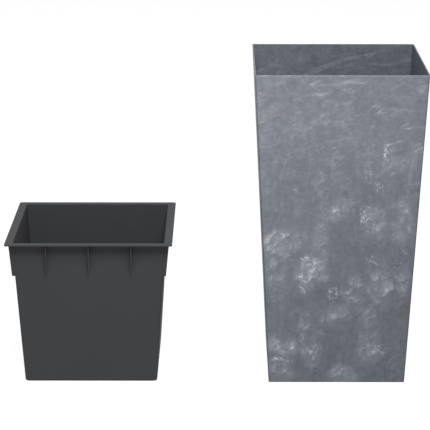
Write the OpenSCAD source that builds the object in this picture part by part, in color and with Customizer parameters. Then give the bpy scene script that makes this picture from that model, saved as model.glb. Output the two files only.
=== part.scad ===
// Tall square planter with a lift-out planting insert. The insert holds a watering kit:
// a perforated separator over a reservoir, four wick cups, a filler tube and a float gauge.
// Millimetres, +Z up. The origin is the centre of the pot's base, on the floor, and -Y is the front.
// The insert stands on the same floor to the left of the pot, as it does while it is being planted.

/* [Pot] */
// Outside width of the square pot across its mouth
pot_top_w = 325; // [290:5:400]
// Outside width of the square pot across its base
pot_base_w = 264; // [230:2:285]
// Height of the pot from the floor to its rim
pot_h = 614; // [500:2:760]
// Thickness of the pot's side walls
pot_wall = 2.2; // [1.8:0.1:3.5]
// Thickness of the pot's floor
pot_floor_t = 3; // [2:0.5:5]
// Outside radius of the pot's upright edges
pot_edge_r = 2.5; // [1:0.5:8]
// Inside radius of the pot's upright edges
pot_inner_edge_r = 1.5; // [1:0.5:8]
// Width of the flat ring that the pot stands on
pot_foot_w = 15; // [8:1:30]
// Height that the middle of the pot's floor is raised by
pot_foot_h = 5; // [4:0.5:12]
// Thickness of the ribs moulded under both floors
floor_rib_t = 2; // [1.6:0.2:3]

/* [Insert] */
// Height of the insert from the floor to the top of its flange
insert_h = 285; // [230:5:330]
// Outside width of the insert across its base
insert_base_w = 257; // [240:1:262]
// Thickness of the insert's walls
insert_wall = 2.2; // [1.8:0.1:3]
// Thickness of the insert's floor
insert_floor_t = 2.4; // [2:0.2:4]
// Outside radius of the insert's upright edges
insert_edge_r = 6; // [4:0.5:14]
// Radius that rounds the bottom edge of the insert
insert_base_round = 4; // [2:0.5:8]
// Width of the flat ring that the insert stands on
insert_foot_w = 13; // [8:1:20]
// Height that the middle of the insert's floor is raised by
insert_foot_h = 5; // [4:0.5:10]

/* [Insert flange and aprons] */
// Depth below the pot's rim at which the flange comes to rest in the mouth
seat_drop = 3; // [1:0.5:20]
// Gap on each side between the flange's edge and the pot's wall where it rests
seat_fit = 0.15; // [0.05:0.05:1]
// Thickness of the flange
flange_t = 2.4; // [1.8:0.2:4]
// Distance that the flange stands out past the aprons
flange_reach = 7; // [5:0.5:12]
// Corner radius of the flange
flange_corner_r = 6; // [4:0.5:20]
// Radius that rounds the inner edge of the flange into the mouth
mouth_round = 1; // [0.5:0.5:3]
// Height of the aprons that hang under the flange on the left and the right
apron_h = 64; // [40:1:90]
// Distance from the tub's front and back faces to the ends of the aprons
apron_set = 0.8; // [0.4:0.2:40]
// Thickness of the aprons
apron_t = 2.2; // [1.6:0.2:3]
// Gap between an apron and the tub's wall, just under the flange
apron_gap = 4.3; // [3.5:0.1:8]
// Distance that each apron leans in over its height
apron_lean = 5.4; // [3:0.2:6]

/* [Insert ribs] */
// Number of upright ribs under the flange, on the front and again on the back
rib_count = 3; // [1:1:5]
// Distance between neighbouring ribs
rib_pitch = 81; // [40:1:90]
// Thickness of a rib
rib_t = 2; // [1.6:0.2:4]
// Distance that a rib stands out from the tub's wall
rib_reach = 9; // [2:0.5:10]
// Height of a rib
rib_h = 53.6; // [30:0.2:80]

/* [Overflow] */
// Diameter of the overflow holes in the insert's back wall
overflow_d = 8; // [5:0.5:10]
// Distance between the two overflow holes
overflow_pitch = 70; // [30:5:120]
// Distance from the centre of the overflow holes up to the separator's plate
overflow_drop = 9; // [6:1:16]

/* [Separator] */
// Height of the water space between the insert's floor and the separator's plate
reservoir_h = 52; // [44:1:70]
// Thickness of the separator's plate
plate_t = 2.4; // [2:0.2:4]
// Gap between the edge of the separator and the insert's walls
plate_gap = 1.2; // [0.6:0.1:3]
// Height of the separator's turned-down edge
skirt_h = 8; // [4:1:12]
// Thickness of the separator's turned-down edge
skirt_t = 1.8; // [1.4:0.2:3]
// Outside diameter of the separator's legs
leg_d = 20; // [14:1:26]
// Wall of the separator's legs
leg_wall = 2; // [1.4:0.2:3]
// Distance from a leg to the edge of the raised floor that it stands on
leg_margin = 3; // [1:1:12]
// Height of the stiffening ribs under the separator's plate
plate_rib_h = 5; // [3:0.5:8]
// Thickness of the stiffening ribs under the separator's plate
plate_rib_t = 1.6; // [1.2:0.2:3]
// Diameter of the drain holes in the separator's plate
drain_hole_d = 5; // [4:0.5:8]
// Distance between the drain holes in the separator's plate
drain_hole_pitch = 20; // [16:1:30]
// Height of the collars that hold the tubes above the separator's plate
collar_h = 12; // [6:1:20]
// Wall of the collars
collar_wall = 2; // [1.4:0.2:3]

/* [Wick cups] */
// Distance between the centres of the wick cups
cup_pitch = 116; // [108:2:122]
// Outside diameter of a wick cup at the separator
cup_top_d = 52; // [44:1:56]
// Outside diameter of a wick cup at its foot
cup_foot_d = 38; // [28:1:42]
// Wall of a wick cup
cup_wall = 1.8; // [1.4:0.2:3]
// Width of a wick cup's rim outside its wall
cup_rim_w = 4; // [3:0.5:5]
// Thickness of a wick cup's rim
cup_rim_t = 1.8; // [1.2:0.2:3]
// Gap between a wick cup and the edge of its hole in the separator
cup_fit = 0.3; // [0.1:0.1:0.8]
// Gap between a wick cup's foot and the insert's floor
cup_foot_gap = 0.8; // [0.4:0.1:3]
// Number of water slots round a wick cup
slot_count = 8; // [4:1:12]
// Width of a water slot
slot_w = 3; // [2:0.5:5]
// Height of a water slot
slot_h = 26; // [14:1:32]

/* [Filler tube] */
// Outside diameter of the filler tube
filler_d = 32; // [26:1:34]
// Wall of the filler tube
filler_wall = 2; // [1.6:0.2:3]
// Distance from the top of the filler tube to the top of the insert's flange
filler_below_rim = 30; // [24:1:60]
// Gap between the feet of both tubes and the insert's floor
tube_foot_gap = 4; // [3:0.5:8]
// Gap between the filler tube and the insert's wall at the floor
tube_side_gap = 5; // [4:0.5:10]
// Height of the notches that let water out at the filler tube's foot
notch_h = 10; // [5:1:20]
// Width of the notches at the filler tube's foot
notch_w = 9; // [5:1:12]
// Gap between a tube and the collar or clip that holds it
tube_fit = 0.1; // [0.05:0.05:0.3]
// Distance that the bead under the clip stands out from the filler tube
bead_reach = 1; // [0.6:0.1:1.5]
// Height of the bead under the clip
bead_h = 2; // [1:0.5:4]
// Distance that a tube's shoulder ring stands out
shoulder_reach = 2.5; // [1.5:0.5:3]
// Height of a tube's shoulder ring
shoulder_h = 3; // [2:0.5:5]

/* [Filler cap] */
// Thickness of the cap's lid
cap_t = 2.2; // [1.6:0.2:4]
// Depth of the cap's plug inside the tube
cap_plug_h = 2.4; // [1.5:0.1:3]
// Gap between the cap's plug and the filler tube's bore
cap_plug_gap = 1; // [0.8:0.1:1.5]
// Distance that the cap's thumb tab stands out
thumb_reach = 8; // [4:1:12]
// Width of the thumb tab
thumb_w = 14; // [8:1:20]
// Diameter of the hinge pin
pin_d = 2.4; // [2:0.2:3]
// Wall of the hinge knuckles round the pin
knuckle_wall = 1.5; // [1.2:0.1:2]
// Length of the whole row of knuckles
hinge_l = 18; // [14:1:24]
// Running gap between the cap's knuckle and its pin
pin_fit = 0.06; // [0.02:0.01:0.1]
// Gap between neighbouring knuckles
knuckle_gap = 0.4; // [0.3:0.1:0.8]

/* [Level gauge] */
// Outside diameter of the gauge tube
gauge_d = 20; // [18:0.5:22]
// Wall of the gauge tube
gauge_wall = 1.4; // [1:0.2:2]
// Distance between the centres of the filler tube and the gauge tube
gauge_spacing = 44; // [42:1:48]
// Distance that the float rises from empty to full
float_travel = 36; // [24:1:40]
// Gap between the float and the gauge tube's bore
float_gap = 1.2; // [0.6:0.1:2]
// Length of the float
float_l = 34; // [20:1:44]
// Diameter of the stem that carries the pointer
stem_d = 2.6; // [2:0.2:4]
// Diameter of the pointer
pointer_d = 12; // [8:0.5:13]
// Height of the pointer
pointer_h = 8; // [5:1:12]
// Distance from the top of the window to the top of the insert's flange
window_below_rim = 23; // [18:1:50]
// Wall of the window
window_wall = 1.6; // [1.2:0.2:2.4]
// Spare height over the pointer inside the window when the float is full
window_spare = 3; // [2:0.5:8]
// Depth that the window and the foot piece plug into the gauge tube
plug_depth = 8; // [4:1:12]
// Gap round a part that plugs into the gauge tube
plug_fit = 0.1; // [0.05:0.05:0.3]
// Thickness of the foot piece's end
foot_end_t = 2; // [1.5:0.5:4]
// Diameter of the water hole in the foot piece
foot_hole_d = 8; // [5:0.5:10]

/* [Tube clip] */
// Height of the middle of the clip above the separator's plate
clip_rise = 95; // [50:5:110]
// Height of the clip
clip_h = 10; // [6:1:20]
// Wall of the clip
clip_wall = 2.2; // [1.6:0.2:3.5]
// Angle of the gap in each ring of the clip, in degrees
clip_open = 80; // [60:5:120]

/* [Drain bungs] */
// Diameter of the drain holes in both floors
drain_d = 20; // [14:1:24]
// Gap between a bung and its drain hole
bung_fit = 0.3; // [0.2:0.1:0.6]
// Distance that a bung's head stands out past the hole
bung_head_reach = 4; // [3:0.5:6]
// Thickness of a bung's head
bung_head_t = 3; // [2:0.5:5]
// Distance that a bung stands out below the floor
bung_tip = 1.5; // [0.5:0.5:2]
// Width of the bevel round a bung's head
bung_edge = 1; // [0.5:0.1:1.5]
// Thickness of the sealing washer under a bung's head
washer_t = 1.6; // [1:0.2:2.4]
// Distance that the washer's edge lies inside the bung's head
washer_tuck = 0.5; // [0.2:0.1:1.5]
// Gap between the washer and the bung's stem
washer_fit = 0.1; // [0.05:0.05:0.3]
// Height of a bung's pull tab
tab_h = 11; // [8:1:14]
// Width of a bung's pull tab
tab_w = 13; // [10:1:18]
// Thickness of a bung's pull tab
tab_t = 3; // [2:0.5:5]
// Diameter of the finger hole in the pull tab
tab_hole_d = 5; // [3:0.5:6]

/* [Layout] */
// Distance between the middle of the pot and the middle of the insert
stand_apart = 478; // [420:2:600]

/* [Hidden] */
$fn = 64;
over = 1;                // how far a cutting shape runs past the face that it opens
bite = 0.5;              // how far a moulded-on shape runs into the wall that carries it
edge_steps = 6;          // facets in a quarter turn of an upright edge
round_step = 22.5;       // degrees between the facets of a rounded lip or foot

// Colours
slate = "#7b808a";
anthracite = "#454648";
black_rubber = "#1b1c1e";
kit_grey = "#34373b";
clear_plastic = [0.82, 0.87, 0.9, 0.45];

// Pot
pot_floor_z = pot_foot_h + pot_floor_t;
pot_mouth_w = pot_top_w - 2 * pot_wall;
pot_flare = (pot_top_w - pot_base_w) / pot_h;
pot_rise_w = pot_base_w - 2 * pot_foot_w;

// Insert
flange_w = pot_mouth_w - pot_flare * seat_drop - 2 * seat_fit;
flange_z = insert_h - flange_t;
apron_z = flange_z - apron_h;
apron_top_w = flange_w - 2 * flange_reach;
insert_top_w = apron_top_w - 2 * apron_t - 2 * apron_gap;
insert_floor_z = insert_foot_h + insert_floor_t;
insert_rise_w = insert_base_w - 2 * insert_foot_w;
insert_inner_edge_r = insert_edge_r - insert_wall;

// Separator and wick cups
plate_under_z = insert_floor_z + reservoir_h;
plate_z = plate_under_z + plate_t;
leg_line = insert_rise_w / 2 - insert_foot_h - leg_margin - leg_d / 2;
leg_spots = [[-1, 0], [1, 0], [0, -1], [0, 1]] * leg_line;
cup_spots = [[-1, -1], [1, -1], [-1, 1], [1, 1]] * cup_pitch / 2;
cup_hole_r = cup_top_d / 2 + cup_fit;
cup_foot_z = insert_floor_z + cup_foot_gap;

// Tubes, side by side along the front of the insert
tube_line = inner_w(insert_floor_z) / 2 - tube_side_gap - filler_d / 2;
filler_spot = [tube_line, -tube_line];
gauge_spot = [tube_line - gauge_spacing, -tube_line];
tube_foot_z = insert_floor_z + tube_foot_gap;
shoulder_z = plate_z + collar_h;
filler_top_z = insert_h - filler_below_rim;
filler_bore_r = filler_d / 2 - filler_wall;
filler_collar_r = filler_d / 2 + tube_fit + collar_wall;
gauge_collar_r = gauge_d / 2 + tube_fit + collar_wall;
clip_z = plate_z + clip_rise - clip_h / 2;

// Filler cap
pin_r = pin_d / 2;
knuckle_r = pin_r + knuckle_wall;
knuckle_l = (hinge_l - 2 * knuckle_gap) / 3;
hinge_y = filler_spot.y - filler_d / 2 - knuckle_gap - knuckle_r;
hinge_z = filler_top_z + cap_t / 2;

// Level gauge
gauge_bore_r = gauge_d / 2 - gauge_wall;
gauge_foot_z = tube_foot_z + foot_end_t;
window_top_z = insert_h - window_below_rim;
gauge_top_z = window_top_z - window_wall - window_spare - pointer_h - float_travel;
stem_r = stem_d / 2;
stem_socket = pointer_h / 2;

// Drain bungs
bung_stem_r = drain_d / 2 - bung_fit;
bung_head_r = drain_d / 2 + bung_head_reach;

// Outside width of the pot at height z
function pot_w(z) = pot_base_w + pot_flare * z;

// Outside and inside width of the insert's tub at height z
function outer_w(z) = insert_base_w + (insert_top_w - insert_base_w) * z / flange_z;
function inner_w(z) = outer_w(z) - 2 * insert_wall;

// Width over both aprons at height z
function apron_w(z) = apron_top_w - 2 * apron_lean * (flange_z - z) / apron_h;

// Points of a square of width w with corners of radius r, at height z
function ring(w, r, z) = [
    for (corner = [0:3], i = [0:edge_steps])
        let (a = 90 * (corner + i / edge_steps), mid = 90 * corner + 45, c = (w / 2 - r) * sqrt(2))
            [c * cos(mid) + r * cos(a), c * sin(mid) + r * sin(a), z]
];

// A solid through rings that lie one above another
module loft(rings) {
    n = len(rings[0]);
    last = len(rings) - 1;
    polyhedron(
        [for (r = rings) each r],
        [
            [for (i = [0:n - 1]) i],
            [for (i = [n - 1:-1:0]) last * n + i],
            for (k = [0:last - 1], i = [0:n - 1])
                [(k + 1) * n + i, (k + 1) * n + (i + 1) % n, k * n + (i + 1) % n, k * n + i]
        ]
    );
}

// A square block that tapers from width w0 at height z0 to width w1 at height z1
module taper(w0, w1, r, z0, z1) {
    loft([ring(w0, r, z0), ring(w1, r, z1)]);
}

// A block with sides that lean in at 45 degrees, from width w at height z up to height z + h
module rise(w, h, r, z) {
    taper(w + 2 * over, w - 2 * h, r, z - over, z + h);
}

module tube(r_out, r_in, z0, z1) {
    translate([0, 0, z0]) difference() {
        cylinder(h = z1 - z0, r = r_out);
        translate([0, 0, -over]) cylinder(h = z1 - z0 + 2 * over, r = r_in);
    }
}

// Puts a piece of the insert, or of the kit inside it, where the insert stands
module at_insert() {
    translate([-stand_apart, 0, 0]) children();
}

// ---- Pot ----

module planter_pot() {
    r = pot_inner_edge_r;
    color(slate) {
        difference() {
            taper(pot_base_w, pot_top_w, pot_edge_r, 0, pot_h);
            difference() {
                taper(pot_w(pot_floor_t) - 2 * pot_wall, pot_w(pot_h + over) - 2 * pot_wall, r,
                    pot_floor_t, pot_h + over);
                rise(pot_rise_w, pot_foot_h, r, pot_floor_t);
            }
            rise(pot_rise_w, pot_foot_h, r, 0);
            cylinder(h = pot_floor_z + over, d = drain_d);
        }
        floor_ribs(pot_rise_w / 2 - pot_foot_h, pot_foot_h);
    }
}

// Ribs moulded under a raised floor, from the drain's boss out to the sides and the corners
module floor_ribs(half_w, hollow_h) {
    ground_gap = hollow_h / 4;
    boss_r = drain_d / 2 + floor_rib_t;
    for (a = [0:45:315]) {
        reach = half_w * (a % 90 == 0 ? 1 : sqrt(2)) + bite;
        rotate(a) translate([boss_r - bite, -floor_rib_t / 2, ground_gap])
            cube([reach - boss_r + bite, floor_rib_t, hollow_h - ground_gap + bite]);
    }
    tube(boss_r, drain_d / 2, ground_gap, hollow_h + bite);
}

// ---- Insert ----

module planting_insert() {
    r = insert_inner_edge_r;
    at_insert() color(anthracite) {
        difference() {
            union() {
                tub_outside();
                aprons();
                ribs();
            }
            difference() {
                tub_inside();
                rise(insert_rise_w, insert_foot_h, r, insert_floor_t);
            }
            rise(insert_rise_w, insert_foot_h, r, 0);
            cylinder(h = insert_floor_z + over, d = drain_d);
            overflow_holes();
        }
        floor_ribs(insert_rise_w / 2 - insert_foot_h, insert_foot_h);
    }
}

// The outside: a plain tapered tub with a rounded foot, and the flange on top of it
module tub_outside() {
    foot_r = insert_base_round;
    r = insert_edge_r;
    loft([
        for (a = [0:round_step:90])
            let (z = foot_r * (1 - cos(a)), tuck = foot_r * (1 - sin(a))) ring(outer_w(z) - 2 * tuck, r, z),
        ring(insert_top_w, r, flange_z),
        ring(flange_w, flange_corner_r, flange_z),
        ring(flange_w, flange_corner_r, insert_h)
    ]);
}

// The inside, one wall in, with a lip that rounds out into the flange
module tub_inside() {
    r = insert_inner_edge_r;
    mouth_w = inner_w(insert_h - mouth_round);
    loft([
        ring(inner_w(insert_floor_t), r, insert_floor_t),
        for (a = [0:round_step:90])
            let (out = mouth_round * (1 - cos(a)))
                ring(mouth_w + 2 * out, r + out, insert_h - mouth_round * (1 - sin(a))),
        ring(mouth_w + 2 * mouth_round, r + mouth_round, insert_h + over)
    ]);
}

// The two aprons, hollow and open underneath, that fill out the tub's left and right sides under the flange
module aprons() {
    for (side = [0, 180]) rotate(side) difference() {
        apron_block(insert_edge_r, 0, apron_z, flange_z + bite);
        apron_block(2 * insert_edge_r, apron_t, apron_z - over, flange_z + bite + over);
    }
}

// A block on the tub's right side, from depth inside the tub's face out to inset inside the apron's faces
module apron_block(depth, inset, z0, z1) {
    foot_half = outer_w(z0) / 2 - apron_set - inset;
    top_half = outer_w(z1) / 2 - apron_set - inset;
    intersection() {
        along_side(insert_top_w) polygon([
            [outer_w(z0) / 2 - depth, z0], [apron_w(z0) / 2 - inset, z0],
            [apron_w(z1) / 2 - inset, z1], [outer_w(z1) / 2 - depth, z1]
        ]);
        translate([flange_w / 2, 0, 0]) rotate(90) along_side(flange_w) polygon([
            [-foot_half, z0], [foot_half, z0], [top_half, z1], [-top_half, z1]
        ]);
    }
}

// Upright ribs on the front and the back of the tub, which keep stacked inserts from jamming together
module ribs() {
    foot_z = flange_z - rib_h;
    top = flange_z + bite;
    for (side = [-90, 90], i = [0:rib_count - 1])
        rotate(side) translate([0, (i - (rib_count - 1) / 2) * rib_pitch, 0]) along_side(rib_t) polygon([
            [outer_w(foot_z) / 2 - bite, foot_z], [outer_w(foot_z) / 2 + rib_reach, foot_z],
            [outer_w(top) / 2 + rib_reach, top], [outer_w(top) / 2 - bite, top]
        ]);
}

// Extrudes an upright shape on the right side of the tub by length l, evenly to the front and the back
module along_side(l) {
    rotate([90, 0, 0]) translate([0, 0, -l / 2]) linear_extrude(l) children();
}

module overflow_holes() {
    inner_face = inner_w(plate_under_z) / 2;
    for (side = [-1, 1])
        translate([side * overflow_pitch / 2, inner_face - 4 * insert_wall, plate_under_z - overflow_drop])
            rotate([-90, 0, 0]) cylinder(h = 8 * insert_wall, d = overflow_d);
}

// ---- Drain bungs ----

// A bung that stands in a floor of thickness floor_t whose top is at z = 0
module bung(floor_t) {
    tip_z = -floor_t - bung_tip;
    head_z = washer_t + bung_head_t;
    color(black_rubber) {
        rotate_extrude() polygon([
            [0, tip_z], [bung_stem_r - bung_tip / 2, tip_z], [bung_stem_r, tip_z + bung_tip],
            [bung_stem_r, washer_t], [bung_head_r, washer_t], [bung_head_r, head_z - bung_edge],
            [bung_head_r - bung_edge, head_z], [0, head_z]
        ]);
        translate([0, 0, head_z]) pull_tab();
    }
}

module pull_tab() {
    eye_h = tab_h - tab_w / 2;
    rotate([90, 0, 0]) translate([0, 0, -tab_t / 2]) linear_extrude(tab_t) difference() {
        union() {
            translate([-tab_w / 2, -bite]) square([tab_w, eye_h + bite]);
            translate([0, eye_h]) circle(d = tab_w);
        }
        translate([0, eye_h]) circle(d = tab_hole_d);
    }
}

module bung_washer() {
    color(black_rubber) tube(bung_head_r - washer_tuck, bung_stem_r + washer_fit, 0, washer_t);
}

module pot_bung() { translate([0, 0, pot_floor_z]) bung(pot_floor_t); }
module pot_bung_washer() { translate([0, 0, pot_floor_z]) bung_washer(); }
module insert_bung() { at_insert() translate([0, 0, insert_floor_z]) bung(insert_floor_t); }
module insert_bung_washer() { at_insert() translate([0, 0, insert_floor_z]) bung_washer(); }

// ---- Separator ----

module separator_tray() {
    top_w = inner_w(plate_z) - 2 * plate_gap;
    at_insert() color(kit_grey) difference() {
        union() {
            plate_and_skirt(top_w);
            for (a = [0, 90]) rotate(a)
                translate([-(top_w - skirt_t) / 2, -plate_rib_t / 2, plate_under_z - plate_rib_h])
                    cube([top_w - skirt_t, plate_rib_t, plate_rib_h + bite]);
            for (p = leg_spots) translate([p.x, p.y, insert_floor_z]) cylinder(h = reservoir_h + bite, d = leg_d);
            translate([filler_spot.x, filler_spot.y, plate_under_z])
                cylinder(h = shoulder_z - plate_under_z, r = filler_collar_r);
            translate([gauge_spot.x, gauge_spot.y, plate_under_z])
                cylinder(h = shoulder_z - plate_under_z, r = gauge_collar_r);
        }
        for (p = leg_spots) hole_up(p, leg_d / 2 - leg_wall, insert_floor_z, plate_under_z);
        for (p = cup_spots) hole_up(p, cup_hole_r, plate_under_z, plate_z + over);
        hole_up(filler_spot, filler_d / 2 + tube_fit, plate_under_z, shoulder_z + over);
        hole_up(gauge_spot, gauge_d / 2 + tube_fit, plate_under_z, shoulder_z + over);
        drain_holes(top_w);
    }
}

module plate_and_skirt(top_w) {
    skirt_z = plate_z - skirt_h;
    foot_w = inner_w(skirt_z) - 2 * plate_gap;
    r = insert_inner_edge_r;
    difference() {
        taper(foot_w, top_w, r, skirt_z, plate_z);
        taper(foot_w - 2 * skirt_t, top_w - 2 * skirt_t, r, skirt_z - over, plate_under_z);
    }
}

// A round hole at spot p that starts just under z0 and runs up to z1
module hole_up(p, r, z0, z1) {
    translate([p.x, p.y, z0 - over]) cylinder(h = z1 - z0 + over, r = r);
}

// Drain holes on a grid, left out where a cup, a leg or a tube goes
module drain_holes(top_w) {
    edge = drain_hole_d;
    n = floor((top_w / 2 - skirt_t - edge) / drain_hole_pitch + 0.5);
    for (i = [-n:n - 1], j = [-n:n - 1])
        let (p = [i + 0.5, j + 0.5] * drain_hole_pitch)
            if (clear_of(p, cup_spots, cup_top_d / 2 + cup_rim_w + edge)
                && clear_of(p, leg_spots, leg_d / 2 + edge)
                && clear_of(p, [filler_spot], filler_collar_r + edge)
                && clear_of(p, [gauge_spot], gauge_collar_r + edge))
                hole_up(p, drain_hole_d / 2, plate_under_z, plate_z + over);
}

function clear_of(p, spots, gap) = len([for (s = spots) if (norm(p - s) < gap) s]) == 0;

// ---- Wick cups ----

module wick_cup(spot) {
    foot_r = cup_foot_d / 2;
    top_r = cup_top_d / 2;
    slot_z = cup_foot_z + 2 * cup_wall;
    at_insert() color(kit_grey) translate([spot.x, spot.y, 0]) difference() {
        rotate_extrude() polygon([
            [0, cup_foot_z], [foot_r, cup_foot_z], [top_r, plate_z], [top_r + cup_rim_w, plate_z],
            [top_r + cup_rim_w, plate_z + cup_rim_t], [top_r - cup_wall, plate_z + cup_rim_t],
            [foot_r - cup_wall, cup_foot_z + cup_wall], [0, cup_foot_z + cup_wall]
        ]);
        for (k = [0:slot_count - 1]) rotate(360 * k / slot_count)
            translate([foot_r / 2, -slot_w / 2, slot_z]) cube([top_r, slot_w, slot_h]);
        translate([0, 0, cup_foot_z - over]) cylinder(h = cup_wall + 2 * over, d = drain_hole_d);
    }
}

module wick_cup_front_left() { wick_cup(cup_spots[0]); }
module wick_cup_front_right() { wick_cup(cup_spots[1]); }
module wick_cup_back_left() { wick_cup(cup_spots[2]); }
module wick_cup_back_right() { wick_cup(cup_spots[3]); }

// ---- Filler tube and its cap ----

module filler_tube() {
    r = filler_d / 2;
    at_insert() color(kit_grey) difference() {
        union() {
            translate([filler_spot.x, filler_spot.y, 0]) {
                translate([0, 0, tube_foot_z]) cylinder(h = filler_top_z - tube_foot_z, r = r);
                translate([0, 0, shoulder_z]) cylinder(h = shoulder_h, r = r + shoulder_reach);
                translate([0, 0, clip_z - bead_h]) cylinder(h = bead_h, r = r + bead_reach);
            }
            for (side = [-1, 1]) hinge_lug(side);
        }
        translate([filler_spot.x, filler_spot.y, 0]) {
            translate([0, 0, tube_foot_z - over])
                cylinder(h = filler_top_z - tube_foot_z + 2 * over, r = filler_bore_r);
            for (a = [0, 90]) rotate(a)
                translate([-filler_d, -notch_w / 2, tube_foot_z - over])
                    cube([2 * filler_d, notch_w, notch_h + over]);
        }
        hinge_row(hinge_l + 2 * over) circle(pin_r);
    }
}

// Extrudes a shape along the hinge's axis, over length l about the middle of the hinge
module hinge_row(l, shift = 0) {
    translate([filler_spot.x + shift - l / 2, hinge_y, hinge_z])
        rotate([90, 0, 90]) linear_extrude(l) children();
}

// One of the tube's two knuckles, on a bracket that runs down and back into the tube's wall
module hinge_lug(side) {
    shift = side * (knuckle_l + knuckle_gap);
    to_tube = filler_spot.y - hinge_y - filler_bore_r - filler_wall / 2;
    drop = hinge_z - filler_top_z;
    hinge_row(knuckle_l, shift) {
        circle(knuckle_r);
        polygon([
            [-knuckle_r, 0], [0, -knuckle_r * 0.5], [0, -drop],
            [to_tube, -drop], [to_tube, -drop - 3 * knuckle_r], [-knuckle_r, -drop - knuckle_r]
        ]);
    }
}

module filler_cap() {
    r = filler_d / 2;
    to_lid = filler_spot.y - hinge_y - filler_bore_r;
    at_insert() color(kit_grey) difference() {
        union() {
            translate([filler_spot.x, filler_spot.y, filler_top_z]) {
                cylinder(h = cap_t, r = r);
                translate([0, 0, -cap_plug_h]) cylinder(h = cap_plug_h + bite, r = filler_bore_r - cap_plug_gap);
                translate([-thumb_w / 2, 0, 0]) cube([thumb_w, r + thumb_reach - cap_t, cap_t]);
                translate([-thumb_w / 2, r + thumb_reach - cap_t, cap_t / 2])
                    rotate([0, 90, 0]) cylinder(h = thumb_w, d = cap_t);
            }
            hinge_row(knuckle_l) {
                circle(knuckle_r);
                translate([0, -cap_t / 2]) square([to_lid, cap_t]);
            }
        }
        translate([filler_spot.x, filler_spot.y, filler_top_z - cap_plug_h - over])
            cylinder(h = cap_plug_h + over, r = filler_bore_r - cap_plug_gap - cap_t);
        hinge_row(knuckle_l + 2 * over) circle(pin_r + pin_fit);
    }
}

module cap_hinge_pin() {
    at_insert() color("#b9bcc0") hinge_row(hinge_l) circle(pin_r);
}

// ---- Level gauge ----

module gauge_tube() {
    r = gauge_d / 2;
    at_insert() color(kit_grey) translate([gauge_spot.x, gauge_spot.y, 0]) difference() {
        union() {
            translate([0, 0, gauge_foot_z]) cylinder(h = gauge_top_z - gauge_foot_z, r = r);
            translate([0, 0, shoulder_z]) cylinder(h = shoulder_h, r = r + shoulder_reach);
        }
        translate([0, 0, gauge_foot_z - over])
            cylinder(h = gauge_top_z - gauge_foot_z + 2 * over, r = gauge_bore_r);
    }
}

// A cap on the tube's foot that keeps the float in and lets the water through
module gauge_foot() {
    r_in = gauge_d / 2 + plug_fit;
    r_out = r_in + gauge_wall;
    at_insert() color(kit_grey) translate([gauge_spot.x, gauge_spot.y, tube_foot_z]) difference() {
        cylinder(h = foot_end_t + plug_depth, r = r_out);
        translate([0, 0, foot_end_t]) cylinder(h = plug_depth + over, r = r_in);
        translate([0, 0, -over]) cylinder(h = foot_end_t + 2 * over, d = foot_hole_d);
        for (a = [0, 90]) rotate(a)
            translate([-gauge_bore_r, -foot_hole_d / 6, -over])
                cube([2 * gauge_bore_r, foot_hole_d / 3, foot_end_t + 2 * over]);
    }
}

// A clear cap over the pointer, with a spigot that plugs into the top of the tube
module gauge_window() {
    r = gauge_d / 2;
    spigot_r = gauge_bore_r - plug_fit;
    dome = 2 * window_wall;
    at_insert() color(clear_plastic) translate([gauge_spot.x, gauge_spot.y, 0]) rotate_extrude() polygon([
        [spigot_r - window_wall, gauge_top_z - plug_depth],
        [spigot_r, gauge_top_z - plug_depth],
        [spigot_r, gauge_top_z],
        [r, gauge_top_z],
        for (a = [0:15:90]) [r - dome + dome * cos(a), window_top_z - dome + dome * sin(a)],
        [0, window_top_z],
        [0, window_top_z - window_wall],
        for (a = [90:-15:0]) [r - dome + (dome - window_wall) * cos(a),
            window_top_z - dome + (dome - window_wall) * sin(a)],
        [r - window_wall, gauge_top_z + window_wall],
        [spigot_r - window_wall, gauge_top_z]
    ]);
}

module gauge_float() {
    r = gauge_bore_r - float_gap;
    chamfer = r / 4;
    at_insert() color("#e6e2d6") translate([gauge_spot.x, gauge_spot.y, gauge_foot_z]) difference() {
        rotate_extrude() polygon([
            [0, 0], [r - chamfer, 0], [r, chamfer], [r, float_l - chamfer],
            [r - chamfer, float_l], [0, float_l]
        ]);
        translate([0, 0, float_l - stem_socket]) cylinder(h = stem_socket + over, r = stem_r);
    }
}

module float_stem() {
    foot_z = gauge_foot_z + float_l - stem_socket;
    at_insert() color("#e6e2d6") translate([gauge_spot.x, gauge_spot.y, foot_z])
        cylinder(h = gauge_top_z + stem_socket - foot_z, r = stem_r);
}

module level_pointer() {
    r = pointer_d / 2;
    chamfer = r / 4;
    at_insert() color("#c2382c") translate([gauge_spot.x, gauge_spot.y, gauge_top_z]) difference() {
        rotate_extrude() polygon([
            [0, 0], [r, 0], [r, pointer_h - chamfer], [r - chamfer, pointer_h], [0, pointer_h]
        ]);
        translate([0, 0, -over]) cylinder(h = stem_socket + over, r = stem_r);
    }
}

// ---- Tube clip ----

module tube_clip() {
    at_insert() color(kit_grey) translate([0, 0, clip_z]) linear_extrude(clip_h) difference() {
        union() {
            translate(filler_spot) circle(filler_d / 2 + tube_fit + clip_wall);
            translate(gauge_spot) circle(gauge_d / 2 + tube_fit + clip_wall);
            translate([gauge_spot.x, gauge_spot.y - clip_wall / 2]) square([gauge_spacing, clip_wall]);
        }
        clip_opening(filler_spot, filler_d);
        clip_opening(gauge_spot, gauge_d);
    }
}

// The round hole for a tube and the gap in front that lets the clip snap over it
module clip_opening(spot, d) {
    half = clip_open / 2;
    translate(spot) {
        circle(d / 2 + tube_fit);
        polygon([[0, 0], [-d * sin(half), -d * cos(half)], [d * sin(half), -d * cos(half)]]);
    }
}

planter_pot();
pot_bung();
pot_bung_washer();
planting_insert();
insert_bung();
insert_bung_washer();
separator_tray();
wick_cup_front_left();
wick_cup_front_right();
wick_cup_back_left();
wick_cup_back_right();
filler_tube();
filler_cap();
cap_hinge_pin();
tube_clip();
gauge_tube();
gauge_foot();
gauge_window();
gauge_float();
float_stem();
level_pointer();
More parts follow.
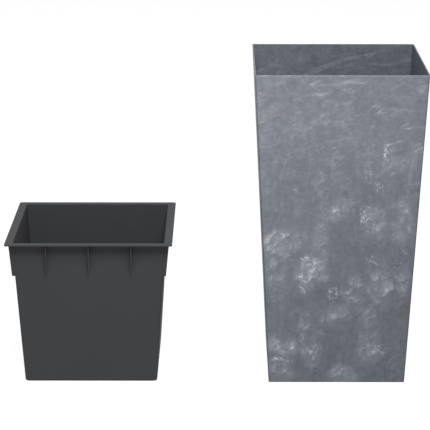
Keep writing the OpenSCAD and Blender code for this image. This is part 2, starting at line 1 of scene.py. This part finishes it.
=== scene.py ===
# %% [markdown]
# # A tall slate-look planter and the tub that lifts out of it
#
# The object is a pair: a tall, tapered, square pot with a marbled blue-grey finish, and a dark plastic tub
# with a wide flange, which hangs in the pot's mouth when it is in use. Inside the tub stands a small watering
# kit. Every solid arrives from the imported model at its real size, in metres, so this lesson never moves or
# reshapes one. It gives each solid the finish that the real piece has, then sets up a floor, soft light and
# a camera.

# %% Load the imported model
import math

import bpy
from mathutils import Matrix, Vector

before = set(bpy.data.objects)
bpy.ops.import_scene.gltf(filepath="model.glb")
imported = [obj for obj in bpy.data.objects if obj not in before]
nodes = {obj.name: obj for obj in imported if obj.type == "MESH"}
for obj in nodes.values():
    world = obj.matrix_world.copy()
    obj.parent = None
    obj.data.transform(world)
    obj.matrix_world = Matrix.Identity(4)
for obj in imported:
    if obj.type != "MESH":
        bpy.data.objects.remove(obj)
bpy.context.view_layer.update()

# %% [markdown]
# ## Camera
#
# The pair is seen from the front and from above, from far enough away that the sides look nearly parallel.
# A camera could be aimed with a Track To constraint, which is quick but rolls if its target moves. Here the
# direction is worked out once, from a pitch and a tiny yaw, so the view is exact and stays put. No shift is
# used, so the camera can be moved round the object and still centre it.

# %% Camera
CAMERA_PLACE = Vector((-0.224, -3.738, 1.320))
PITCH_DOWN = 15.24
YAW = 0.20
LENS = 164.3
SENSOR_WIDTH = 36
FARTHEST_SEEN = 60


def make_camera():
    data = bpy.data.cameras.new("camera")
    data.lens = LENS
    data.sensor_width = SENSOR_WIDTH
    data.clip_end = FARTHEST_SEEN
    camera = bpy.data.objects.new("camera", data)
    camera.location = CAMERA_PLACE
    camera.rotation_euler = (math.radians(90 - PITCH_DOWN), 0, math.radians(YAW))
    bpy.context.scene.collection.objects.link(camera)
    bpy.context.scene.camera = camera


make_camera()
print("camera with a", LENS, "mm lens")

# %% [markdown]
# ## Writing finishes as sums
#
# A finish is a graph of nodes, and wiring one by hand takes four lines for each multiplication. The class
# below wraps one socket, so `1 - mask * 0.3` adds its own nodes. Numbers go through Math nodes, directions
# through Vector Math and colours through Mix, because a Math node would turn a colour grey.

# %% Wires
def operator(operation, swapped=False):
    """Makes one arithmetic method of Wire; swapped is for a number on the left, as in 1 - mask."""
    def combine(self, other):
        pair = (other, self) if swapped else (self, other)
        return self.combine(operation, *pair)
    return combine


class Wire:
    """One output socket of a node, which can be added, multiplied and so on."""

    def __init__(self, finish, socket):
        self.finish = finish
        self.socket = socket

    def combine(self, operation, left, right):
        kinds = {w.socket.type for w in (left, right) if isinstance(w, Wire)}
        if "RGBA" in kinds:
            return self.finish.mix(1.0, left, right, operation)
        if "VECTOR" in kinds:
            pair = [w if isinstance(w, (Wire, tuple)) else (w, w, w) for w in (left, right)]
            return self.finish.add("ShaderNodeVectorMath", {"operation": operation}, {0: pair[0], 1: pair[1]})
        return self.finish.add("ShaderNodeMath", {"operation": operation}, {0: left, 1: right})

    __add__ = operator("ADD")
    __radd__ = operator("ADD", swapped=True)
    __sub__ = operator("SUBTRACT")
    __rsub__ = operator("SUBTRACT", swapped=True)
    __mul__ = operator("MULTIPLY")
    __rmul__ = operator("MULTIPLY", swapped=True)
    __truediv__ = operator("DIVIDE")
    least = operator("MINIMUM")
    most = operator("MAXIMUM")

    def size(self):
        return self.finish.add("ShaderNodeMath", {"operation": "ABSOLUTE"}, {0: self})

    def between(self, low, high, to_low=0.0, to_high=1.0):
        """Runs smoothly from to_low at low to to_high at high, and stays there outside."""
        return self.finish.add(
            "ShaderNodeMapRange", {"interpolation_type": "SMOOTHSTEP"},
            {"Value": self, "From Min": low, "From Max": high, "To Min": to_low, "To Max": to_high})

    def parts(self):
        node = self.finish.node("ShaderNodeSeparateXYZ", {}, {0: self})
        return [Wire(self.finish, output) for output in node.outputs]


print("wires add, multiply and compare")

# %% [markdown]
# ## One finish
#
# A finish starts from two facts about the spot being shaded: its place on the object, in metres, and the way
# its surface faces. Sizes of grain are then real sizes, which a pattern laid out on unwrapped faces would
# lose at every seam. Most helpers below add one node and hand back its output; `surface` ends the graph, and
# `seen` combines three nodes. The sky is lit by a graph of the same kind, so this class also takes a world.

# %% Finishes
class Finish:
    """One material, or a world, being put together."""

    def __init__(self, owner):
        self.owner = owner
        owner.use_nodes = True
        self.tree = owner.node_tree
        self.tree.nodes.clear()
        self.place = self.add("ShaderNodeTexCoord", out="Object")
        self.facing = self.add("ShaderNodeTexCoord", out="Normal")

    def node(self, kind, settings=None, sockets=None):
        made = self.tree.nodes.new(kind)
        for key, value in (settings or {}).items():
            if key == "stops":
                ramp = made.color_ramp
                while len(ramp.elements) < len(value):
                    ramp.elements.new(0.5)
                for element, (spot, colour) in zip(ramp.elements, value):
                    element.position = spot
                    element.color = (*colour, 1)
            else:
                setattr(made, key, value)
        for key, value in (sockets or {}).items():
            if isinstance(value, Wire):
                self.tree.links.new(value.socket, made.inputs[key])
            elif value is not None:
                made.inputs[key].default_value = value
        return made

    def add(self, kind, settings=None, sockets=None, out=0):
        return Wire(self, self.node(kind, settings, sockets).outputs[out])

    def mix(self, factor, left, right, blend="MIX"):
        """Mixes two colours; the six and seven are the colour inputs of a Mix node."""
        left, right = ((*c, 1) if isinstance(c, tuple) else c for c in (left, right))
        return self.add("ShaderNodeMix", {"data_type": "RGBA", "blend_type": blend},
                        {0: factor, 6: left, 7: right}, out=2)

    def noise(self, place, scale, detail=2.0, roughness=0.5, distortion=0.0, out=0):
        return self.add("ShaderNodeTexNoise", {"noise_dimensions": "3D"},
                        {"Vector": place, "Scale": scale, "Detail": detail,
                         "Roughness": roughness, "Distortion": distortion}, out=out)

    def dot(self, left, right):
        return self.add("ShaderNodeVectorMath", {"operation": "DOT_PRODUCT"},
                        {0: left, 1: right}, out="Value")

    def stretched(self, lengths, turn=0.0, place=None):
        """The place, turned about Y and measured in the given lengths, for grain that runs one way."""
        return self.add("ShaderNodeMapping", {"vector_type": "TEXTURE"},
                        {"Vector": place or self.place, "Rotation": (0.0, math.radians(turn), 0.0),
                         "Scale": lengths})

    def bump(self, height, strength, distance):
        return self.add("ShaderNodeBump", {}, {"Strength": strength, "Distance": distance, "Height": height})

    def surface(self, **sockets):
        """Ends the graph in one Principled shader. Names use _ for a space."""
        named = {key.replace("_", " "): value for key, value in sockets.items()}
        if isinstance(named.get("Base Color"), tuple):
            named["Base Color"] = (*named["Base Color"], 1)
        shader = self.add("ShaderNodeBsdfPrincipled", {}, named)
        self.node("ShaderNodeOutputMaterial", {}, {"Surface": shader})
        return self.owner

    def seen(self):
        """1 where the camera looks, straight, in a reflection or through clear plastic, and 0 elsewhere."""
        rays = [self.add("ShaderNodeLightPath", out=kind)
                for kind in ("Is Camera Ray", "Is Glossy Ray", "Is Transmission Ray")]
        return rays[0].most(rays[1]).most(rays[2])


def new_finish(name):
    return Finish(bpy.data.materials.new(name))


def tone(red, green, blue):
    """A colour as it looks on a screen, 0 to 255, turned into the light values that Blender works in."""
    def light(value):
        value /= 255
        return value / 12.92 if value <= 0.04045 else ((value + 0.055) / 1.055) ** 2.4
    return light(red), light(green), light(blue)


print("finishes can be put together")

# %% [markdown]
# ## The pot's slate finish
#
# The pot is moulded from plastic with two greys that are not fully mixed, so it looks like honed slate. Near
# the rim it has fine hairs and wisps that lie nearly flat, lower down they stand upright, and the bottom half
# has clusters of rounded lobes, like a cauliflower, each paler towards its lower right edge, with chalky
# crackle. A photo of stone would repeat and blur. Noise in three dimensions runs round the corners without a
# seam, and flow comes from warping the place first and asking for the noise second.

# %% Slate helpers
LOWER_RIGHT = (0.65, -0.3, -0.7)


def flow(finish, amount, scale):
    """The place on the object, pushed about by slow noise, so that patterns curl."""
    push = finish.noise(finish.place, scale, 2.0, out="Color")
    push = finish.add("ShaderNodeVectorMath", {"operation": "SUBTRACT"}, {0: push, 1: (0.5, 0.5, 0.5)})
    return finish.place + push * amount


def wisps(finish, place, lengths, turn):
    """Soft feathery streaks that run one way."""
    return finish.noise(finish.stretched(lengths, turn, place), 1.0, 5.0, 0.6, 0.3).between(0.50, 0.74)


def hairs(finish, place, lengths, turn, width):
    """Thin pale lines that run one way, where the noise passes its middle value."""
    noise = finish.noise(finish.stretched(lengths, turn, place), 1.0, 3.0, 0.5)
    return (noise - 0.5).size().between(width, 0.0)


def lobes(finish, place, scale):
    """Rounded lobes, and a second answer that is paler towards each lobe's lower right edge."""
    cells = finish.node("ShaderNodeTexVoronoi", {"voronoi_dimensions": "3D", "feature": "F1"},
                        {"Vector": place, "Scale": scale})
    near = Wire(finish, cells.outputs["Distance"])
    middle = Wire(finish, cells.outputs["Position"])
    across = finish.dot((place - middle) * scale, LOWER_RIGHT)
    body = near.between(0.66, 0.50)
    return body, body * across.between(-0.05, 0.50)


print("flow, wisps, hairs and lobes can be asked for")

# %% [markdown]
# ### Where the clusters lie
#
# On the front, the clusters of lobes and the chalky crackle have places of their own, given as spots with a
# soft edge. A mould would put them anywhere, so a random scatter would be as true to such a pot, but not to
# this one. The other faces do take a scatter. The pot's sizes come from its own corners, so a changed model
# keeps its spots on its face.

# %% Where the clusters lie
pot = nodes["planter_pot"]
pot_corners = [pot.matrix_world @ vertex.co for vertex in pot.data.vertices]
POT_HEIGHT = max(corner.z for corner in pot_corners)
POT_TOP_HALF = max(corner.x for corner in pot_corners)
POT_BASE_HALF = max(corner.x for corner in pot_corners if corner.z < 0.001)
POT_LEAN = (POT_TOP_HALF - POT_BASE_HALF) / POT_HEIGHT

# Behind the first of these, over the length of the second, the scatter takes over from the listed spots
SCATTER_FROM = -0.125
SCATTER_BLEND = 0.030

# Clusters of lobes on the front: middle across, middle height, half width, half height, strength
CLOUDS = [
    (-0.110, 0.285, 0.042, 0.026, 0.75), (-0.054, 0.226, 0.032, 0.034, 1.00),
    (-0.118, 0.210, 0.020, 0.056, 0.65), (-0.008, 0.352, 0.030, 0.022, 0.80),
    (-0.034, 0.300, 0.015, 0.046, 0.60), (0.066, 0.325, 0.020, 0.034, 0.60),
    (0.118, 0.330, 0.018, 0.042, 0.60), (0.032, 0.185, 0.020, 0.036, 1.00),
    (0.076, 0.200, 0.026, 0.046, 1.00), (0.120, 0.206, 0.017, 0.036, 0.70),
    (-0.024, 0.142, 0.042, 0.022, 0.75), (0.060, 0.134, 0.020, 0.031, 0.90),
    (-0.108, 0.077, 0.034, 0.020, 1.00), (-0.052, 0.096, 0.022, 0.056, 0.85),
    (0.062, 0.078, 0.022, 0.032, 0.90), (0.010, 0.014, 0.028, 0.022, 0.90),
    (-0.112, 0.028, 0.026, 0.024, 0.90), (0.104, 0.440, 0.024, 0.020, 0.45),
]
# Places with chalky crackle, in the same form
CRACKLE = [
    (-0.006, 0.188, 0.016, 0.014, 1.0), (0.048, 0.340, 0.014, 0.024, 0.9), (0.074, 0.395, 0.010, 0.012, 0.9),
    (0.062, 0.252, 0.016, 0.010, 0.8), (-0.046, 0.066, 0.018, 0.020, 0.8), (0.086, 0.068, 0.018, 0.014, 0.8),
    (0.104, 0.036, 0.012, 0.016, 0.7), (-0.062, 0.248, 0.018, 0.012, 0.7), (0.110, 0.236, 0.014, 0.018, 0.8),
    (0.084, 0.462, 0.007, 0.015, 1.0), (-0.070, 0.486, 0.008, 0.010, 0.7), (-0.054, 0.236, 0.014, 0.012, 0.6),
    (-0.012, 0.176, 0.012, 0.008, 0.9), (0.006, 0.024, 0.016, 0.012, 0.7), (-0.102, 0.044, 0.018, 0.014, 0.6),
    (-0.066, 0.192, 0.012, 0.008, 0.8), (0.124, 0.276, 0.008, 0.016, 0.7),
]


def pot_half(z):
    """Half of the pot's width at a height, which can be a number or a wire."""
    return z * POT_LEAN + POT_BASE_HALF


def patches(finish, place, spots):
    """A soft mask on the pot's front, which reaches each listed spot's strength in its middle."""
    mask = None
    for x, z, half_width, half_height, strength in spots:
        spot_middle = (x, -pot_half(z), z)
        away = finish.add("ShaderNodeVectorMath", {"operation": "SUBTRACT"}, {0: place, 1: spot_middle})
        away = away * (1 / half_width, 1 / half_width, 1 / half_height)
        reach = finish.add("ShaderNodeVectorMath", {"operation": "LENGTH"}, {0: away}, out="Value")
        spot = reach.between(1.50, 0.50, 0.0, strength)
        mask = spot if mask is None else spot.most(mask)
    return mask


print(len(CLOUDS), "clusters and", len(CRACKLE), "crackled spots on the front")

# %% [markdown]
# ### The slate itself
#
# Every layer is a soft mask, and their weighted sum picks a grey from one ramp, so all the layers stay in one
# family of blue-greys, as they would in real marbled plastic. Mixing a colour for each layer would drift
# towards mud. The weights say how strongly a layer shows, and a minus sign makes it darker.

# %% Slate
def slate():
    finish = new_finish("slate_finish")
    x, y, z = finish.place.parts()
    height = z / POT_HEIGHT
    top = height.between(0.66, 0.92)
    low = height.between(0.62, 0.42)
    middle = 1 - top.most(low)
    elsewhere = y.between(SCATTER_FROM, SCATTER_FROM + SCATTER_BLEND)
    outside = finish.dot(finish.facing, finish.place * (1.0, 1.0, 0.0)).between(0.0, 0.02)
    # Painted shade: a thin dark line down each upright corner, where the rounded edge turns away from the
    # light.
    corner = (x.size().least(y.size()) / pot_half(z)).between(0.981, 0.992) * outside
    # A thin lighter band just under the rim, on the outside faces.
    rim_band = height.between(0.9945, 0.9980) * outside

    slow = flow(finish, 0.07, 6.0)
    quick = flow(finish, 0.022, 28.0)
    drift = finish.noise(slow, 7.0, 3.0, 0.5)
    fine = finish.noise(quick, 90, 4.0, 0.65, 0.3)
    grain = finish.noise(finish.place, 420, 2.0, 0.6)

    here = patches(finish, quick, CLOUDS).most(
        elsewhere * low * finish.noise(slow, 11.0, 2.0).between(0.50, 0.66))
    big, big_edge = lobes(finish, quick, 22)
    small, small_edge = lobes(finish, quick, 47)
    mottle = finish.noise(quick, 38, 4.0, 0.62)
    sponge = finish.noise(quick, 170, 3.0, 0.7)
    cloud = here * (0.12 + big * 0.12 + big_edge * 0.32 + small * 0.07 + small_edge * 0.26)
    cloud = cloud * (0.25 + mottle * 1.2) * (sponge * 2.2 - 0.10)

    flat = wisps(finish, slow, (0.070, 0.070, 0.014), -12)
    gaps = finish.noise(slow, 38, 2.0).between(0.52, 0.72)
    rightwards = x.between(-0.12, 0.12, 0.55, 1.25)
    flat_hair = hairs(finish, slow, (0.085, 0.085, 0.016), -24, 0.030) * gaps * rightwards
    upright = wisps(finish, slow, (0.012, 0.012, 0.060), 6)
    dabs = finish.noise(quick, 55, 2.0).between(0.60, 0.78)
    chalk = patches(finish, quick, CRACKLE).most(
        elsewhere * outside * finish.noise(slow, 26, 1.0).between(0.62, 0.72))
    crackle = (finish.noise(quick, 160, 4.0, 0.7, 0.8) + chalk * 0.12).between(0.59, 0.72) * chalk
    flecks = finish.noise(quick, 130, 2.0, 0.5, 1.2).between(0.71, 0.78)
    flecks = flecks * finish.noise(slow, 14, 2.0).between(0.48, 0.62)

    # Painted light: the grey is lighter towards the top and the left and darker towards the bottom right,
    # where less of the lamp's light falls.
    base_and_painted_falloff = height.between(0.0, 1.0, 0.245, 0.53) - x * 0.42
    mixing = (drift - 0.5) * 0.30 + (mottle - 0.5) * 0.24 + (fine - 0.5) * 0.46 + (grain - 0.5) * 0.06
    strokes = flat * (top * 0.26 + middle * 0.04) + flat_hair * (top * 0.34 + middle * 0.22)
    strokes = strokes + upright * (middle * 0.17 + low * 0.10) + dabs * (middle * 0.22 + top * 0.16)
    marks = cloud + crackle * 0.50 + flecks * 0.30
    # Painted shade: the corners and the whole inside of the pot are made darker; the thin band under the rim
    # is made lighter.
    shape = rim_band * 0.13 - corner * 0.30 - (1 - outside) * 0.28
    light = base_and_painted_falloff + mixing + strokes + marks + shape
    colour = finish.add("ShaderNodeValToRGB", {"stops": [
        (0.0, tone(70, 74, 82)), (0.30, tone(104, 108, 117)), (0.50, tone(122, 126, 135)),
        (0.75, tone(150, 154, 162)), (1.0, tone(205, 208, 213))]}, {0: light})
    roughness = 0.54 + (fine - 0.5) * 0.16 - crackle * 0.08
    relief = grain * 0.35 + fine * 0.65 + cloud * 2.0
    return finish.surface(Base_Color=colour, Roughness=roughness, IOR=1.46,
                          Normal=finish.bump(relief, 0.25, 0.0008))


slate_finish = slate()
print("slate finish:", len(slate_finish.node_tree.nodes), "nodes")

# %% [markdown]
# ## Moulded plastics
#
# Up close it is never flat: it has a fine spark-eroded grain and slow flow marks where the plastic met in
# the mould. A flat colour would look like card. One function makes all the shades, since they differ only
# in colour, in grain and in how satin they are.

# %% Moulded plastic
FLOW_MARK = (0.045, 0.045, 0.18)
UNEVENNESS = 0.05
DARKEST = 0.72
LIGHTEST = 1.34


def moulded(name, colour, roughness, grain_scale=700.0):
    finish = new_finish(name)
    grain = finish.noise(finish.place, grain_scale, 2.0, 0.6)
    marks = finish.noise(finish.stretched(FLOW_MARK), 1.0, 4.0, 0.55, 0.5)
    slow = finish.noise(finish.place, 6.0, 2.0)
    change = (marks - 0.5) * UNEVENNESS + (slow - 0.5) * UNEVENNESS + (grain - 0.5) * UNEVENNESS
    darker = tuple(part * DARKEST for part in colour)
    lighter = tuple(min(1.0, part * LIGHTEST) for part in colour)
    shade = finish.add("ShaderNodeValToRGB", {"stops": [(0.0, darker), (0.5, colour), (1.0, lighter)]},
                       {0: change * 4 + 0.5})
    rough = roughness + (marks - 0.5) * 0.14 + (grain - 0.5) * 0.06
    return finish.surface(Base_Color=shade, Roughness=rough, IOR=1.36,
                          Normal=finish.bump(grain * 0.8 + marks * 0.5, 0.2, 0.0004))


tub_finish = moulded("tub_plastic", tone(61, 62, 64), 0.72)
kit_finish = moulded("kit_plastic", tone(52, 55, 59), 0.48)
red_finish = moulded("pointer_plastic", tone(196, 48, 38), 0.28, 500.0)
print("moulded plastics made")

# %% [markdown]
# ## Rubber, foam, clear plastic and steel
#
# The bungs are soft black rubber with a chalky bloom. The float is closed-cell foam, so it has small pits,
# which are cells in the noise sense too. The gauge's window is clear plastic with faint scratches, and the
# hinge pin is drawn wire, whose grain runs along it.

# %% Other finishes
def rubber():
    finish = new_finish("black_rubber")
    grain = finish.noise(finish.place, 900, 3.0, 0.6)
    bloom = finish.noise(finish.place, 120, 4.0, 0.6).between(0.45, 0.75)
    colour = finish.mix(bloom * 0.5, tone(27, 27, 29), tone(46, 46, 48))
    return finish.surface(Base_Color=colour, Roughness=0.72 + bloom * 0.12,
                          Normal=finish.bump(grain, 0.3, 0.0003))


def foam():
    finish = new_finish("float_foam")
    pits = finish.add("ShaderNodeTexVoronoi", {"voronoi_dimensions": "3D", "feature": "SMOOTH_F1"},
                      {"Vector": finish.place, "Scale": 700, "Smoothness": 0.3}, out="Distance")
    stain = finish.noise(finish.place, 60, 3.0)
    colour = finish.mix(stain, tone(226, 222, 210), tone(238, 235, 226))
    return finish.surface(Base_Color=colour, Roughness=0.78 + pits * 0.1,
                          Normal=finish.bump(pits, 0.5, 0.0006))


def clear():
    finish = new_finish("clear_window")
    scratches = finish.noise(finish.stretched((0.002, 0.002, 0.02)), 1.0, 5.0, 0.7, 0.4)
    roughness = 0.05 + scratches.between(0.55, 0.8) * 0.22
    return finish.surface(Base_Color=(0.93, 0.96, 0.97), Roughness=roughness, IOR=1.49,
                          Transmission_Weight=1.0, Normal=finish.bump(scratches, 0.05, 0.0002))


def drawn_steel():
    finish = new_finish("pin_steel")
    lines = finish.noise(finish.stretched((0.008, 0.0004, 0.0004)), 1.0, 3.0, 0.6)
    return finish.surface(Base_Color=finish.mix(lines, (0.50, 0.51, 0.53), (0.66, 0.67, 0.68)),
                          Metallic=1.0, Roughness=0.24 + lines * 0.2,
                          Normal=finish.bump(lines, 0.15, 0.0001))


rubber_finish = rubber()
foam_finish = foam()
clear_finish = clear()
steel_finish = drawn_steel()
print("rubber, foam, clear plastic and steel made")

# %% [markdown]
# ## Which piece gets which finish
#
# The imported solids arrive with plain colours. That is shorter than a line for every solid, and a piece that
# is added later still gets a sensible finish.

# %% Give every solid its finish
FINISHES = {
    "planter_pot": slate_finish,
    "planting_insert": tub_finish,
    "pot_bung": rubber_finish,
    "pot_bung_washer": rubber_finish,
    "insert_bung": rubber_finish,
    "insert_bung_washer": rubber_finish,
    "gauge_float": foam_finish,
    "float_stem": foam_finish,
    "level_pointer": red_finish,
    "gauge_window": clear_finish,
    "cap_hinge_pin": steel_finish,
}

for name, solid in nodes.items():
    solid.data.materials.clear()
    solid.data.materials.append(FINISHES.get(name, kit_finish))
print("finishes given to", len(nodes), "solids")

# %% [markdown]
# ## Floor
#
# The floor is painted white. To the camera it is part lit surface and part its own white, so it stays white
# and still keeps a soft shadow. More light would also make it white, but would bleach the pair with it.

# %% Floor
WHITE = (1, 1, 1, 1)
FLOOR_REACH = 16.0
OWN_WHITE = 1.55
OWN_WHITE_SHARE = 0.6


def make_floor():
    finish = new_finish("floor_paint")
    tooth = finish.noise(finish.place, 30, 3.0)
    paint = finish.mix(tooth, (0.59, 0.59, 0.59), (0.61, 0.61, 0.61))
    lit = finish.add("ShaderNodeBsdfDiffuse", {}, {"Color": paint})
    white = finish.add("ShaderNodeEmission", {}, {"Color": WHITE, "Strength": OWN_WHITE})
    both = finish.add("ShaderNodeMixShader", {}, {0: finish.seen() * OWN_WHITE_SHARE, 1: lit, 2: white})
    finish.node("ShaderNodeOutputMaterial", {}, {"Surface": both})
    mesh = bpy.data.meshes.new("floor")
    corners = [(x * FLOOR_REACH, y * FLOOR_REACH, 0) for x, y in ((-1, -1), (1, -1), (1, 1), (-1, 1))]
    mesh.from_pydata(corners, [], [(0, 1, 2, 3)])
    mesh.materials.append(finish.owner)
    floor = bpy.data.objects.new("floor", mesh)
    bpy.context.scene.collection.objects.link(floor)


make_floor()
print("floor laid")

# %% [markdown]
# ## Light
#
# One large soft lamp stands in front and above, like a window, and an even white sky fills the shadows. The
# camera sees that sky as plain white, at any level of light. More lamps would flatten the pair's sides.

# %% Light
def make_sky(level):
    sky = Finish(bpy.data.worlds.new("sky"))
    strength = sky.seen().between(0.0, 1.0, level, 1.0)
    glow = sky.add("ShaderNodeBackground", {}, {"Color": WHITE, "Strength": strength})
    sky.node("ShaderNodeOutputWorld", {}, {"Surface": glow})
    bpy.context.scene.world = sky.owner


def make_lamp(name, place, aim, size, power):
    data = bpy.data.lights.new(name, "AREA")
    data.shape = "DISK"
    data.size = size
    data.energy = power
    lamp = bpy.data.objects.new(name, data)
    lamp.location = place
    lamp.rotation_euler = (Vector(aim) - Vector(place)).to_track_quat("-Z", "Y").to_euler()
    bpy.context.scene.collection.objects.link(lamp)


SKY_LEVEL = 0.184
LAMP_PLACE = (-0.1, -1.9, 3.1)
LAMP_AIM = (-0.24, 0.0, 0.3)
make_sky(SKY_LEVEL)
make_lamp("front_lamp", LAMP_PLACE, LAMP_AIM, size=1.6, power=110)
bpy.context.scene.view_settings.view_transform = "Standard"
print("sky at", SKY_LEVEL, "and one lamp")
